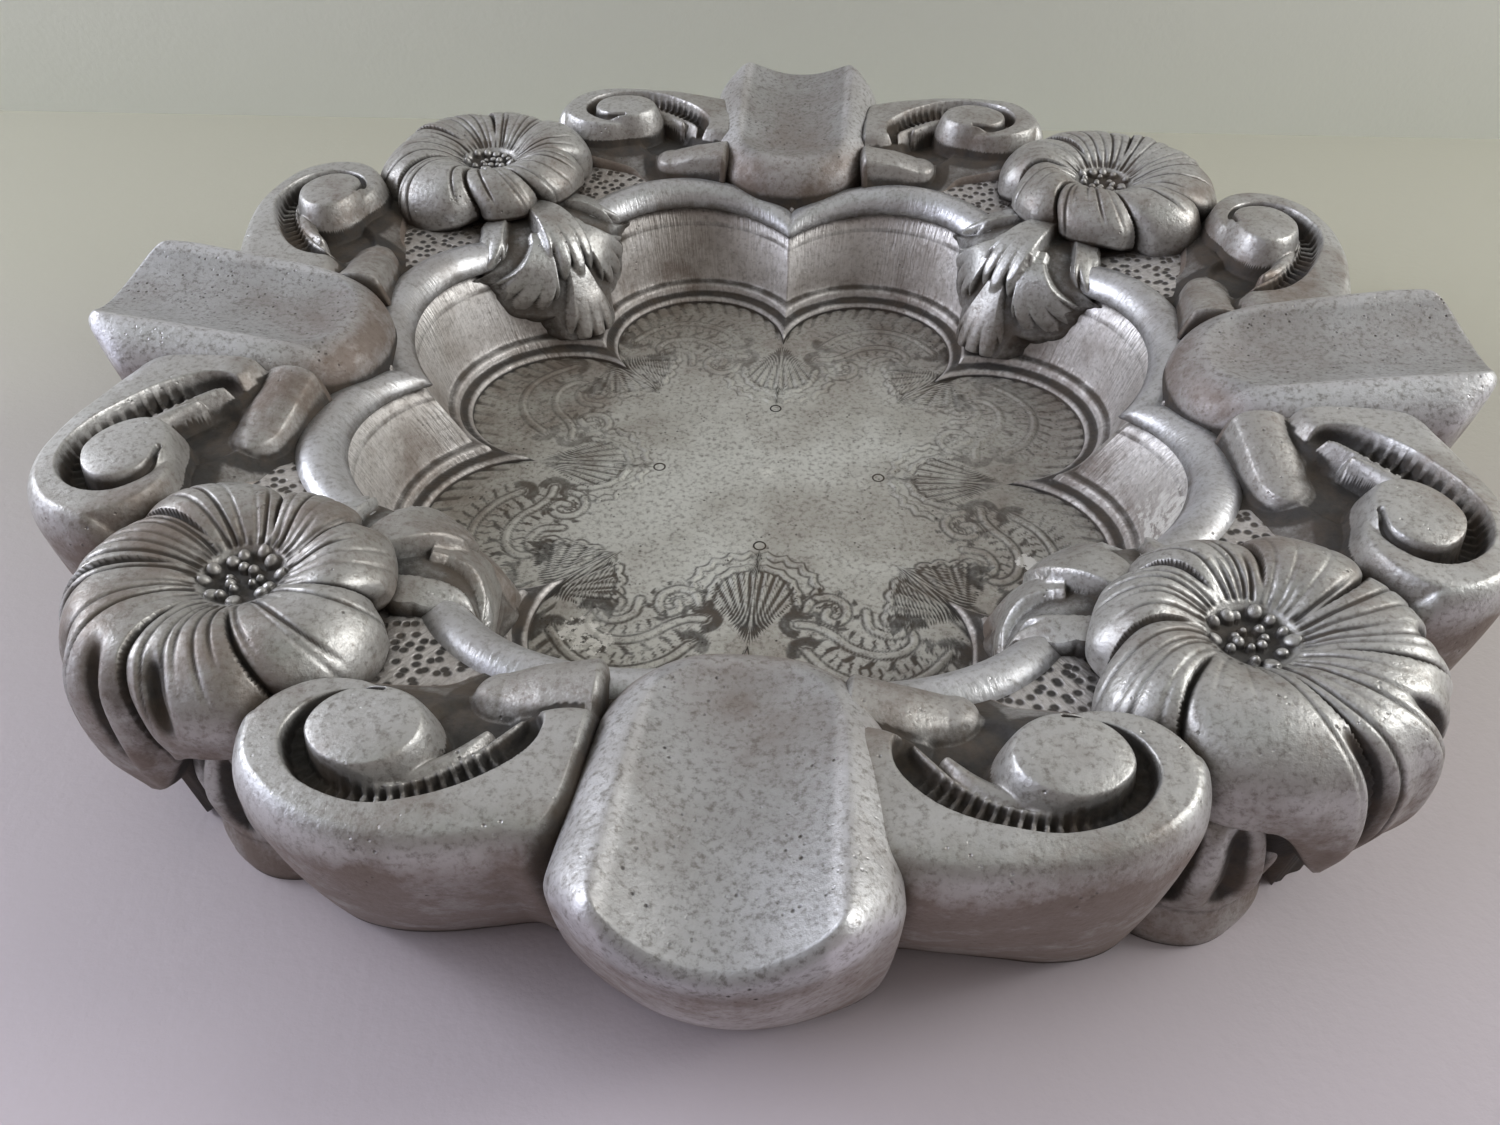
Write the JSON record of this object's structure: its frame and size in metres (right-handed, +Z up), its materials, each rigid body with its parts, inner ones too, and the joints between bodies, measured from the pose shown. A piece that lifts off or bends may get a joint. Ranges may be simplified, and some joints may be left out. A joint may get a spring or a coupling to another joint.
{
  "type": "cast-metal dresser dish",
  "caption": "Cast aluminium dresser dish with a scalloped well, chased floor, concave rests, blossoms, leaf sprays and scrolls round its rim.",
  "frame": {"origin": "centre of the underside, on the surface the dish stands on", "axes": "+Z up; -Y towards the front rest; +X to the right; the four rests lie on the X and Y axes"},
  "size_m": [0.1994, 0.1994, 0.0347],
  "materials": {
    "cast_body": "satin, aged, with dark patina in the recesses",
    "moulding": "satin, rubbed bright on top",
    "chased_floor": "satin, low relief with dark patina",
    "pins": "dark, pitted",
    "rests": "brushed, finely pitted",
    "ornament": "satin, rubbed bright on high points, dark in the grooves"
  },
  "bodies": {
    "root": {"tray_body": "cast_body", "well_moulding": "moulding", "floor_plate": "chased_floor", "floor_pins": "pins", "rest_front": "rests", "rest_right": "rests", "rest_back": "rests", "rest_left": "rests", "blossom_front_right": "ornament", "blossom_back_right": "ornament", "blossom_back_left": "ornament", "blossom_front_left": "ornament", "leaf_spray_front_right": "ornament", "leaf_spray_back_right": "ornament", "leaf_spray_back_left": "ornament", "leaf_spray_front_left": "ornament", "scroll_front_a": "ornament", "scroll_front_b": "ornament", "scroll_right_a": "ornament", "scroll_right_b": "ornament", "scroll_back_a": "ornament", "scroll_back_b": "ornament", "scroll_left_a": "ornament", "scroll_left_b": "ornament", "outer_leaf_front_a": "ornament", "outer_leaf_front_b": "ornament", "outer_leaf_right_a": "ornament", "outer_leaf_right_b": "ornament", "outer_leaf_back_a": "ornament", "outer_leaf_back_b": "ornament", "outer_leaf_left_a": "ornament", "outer_leaf_left_b": "ornament"}
  },
  "joints": []
}
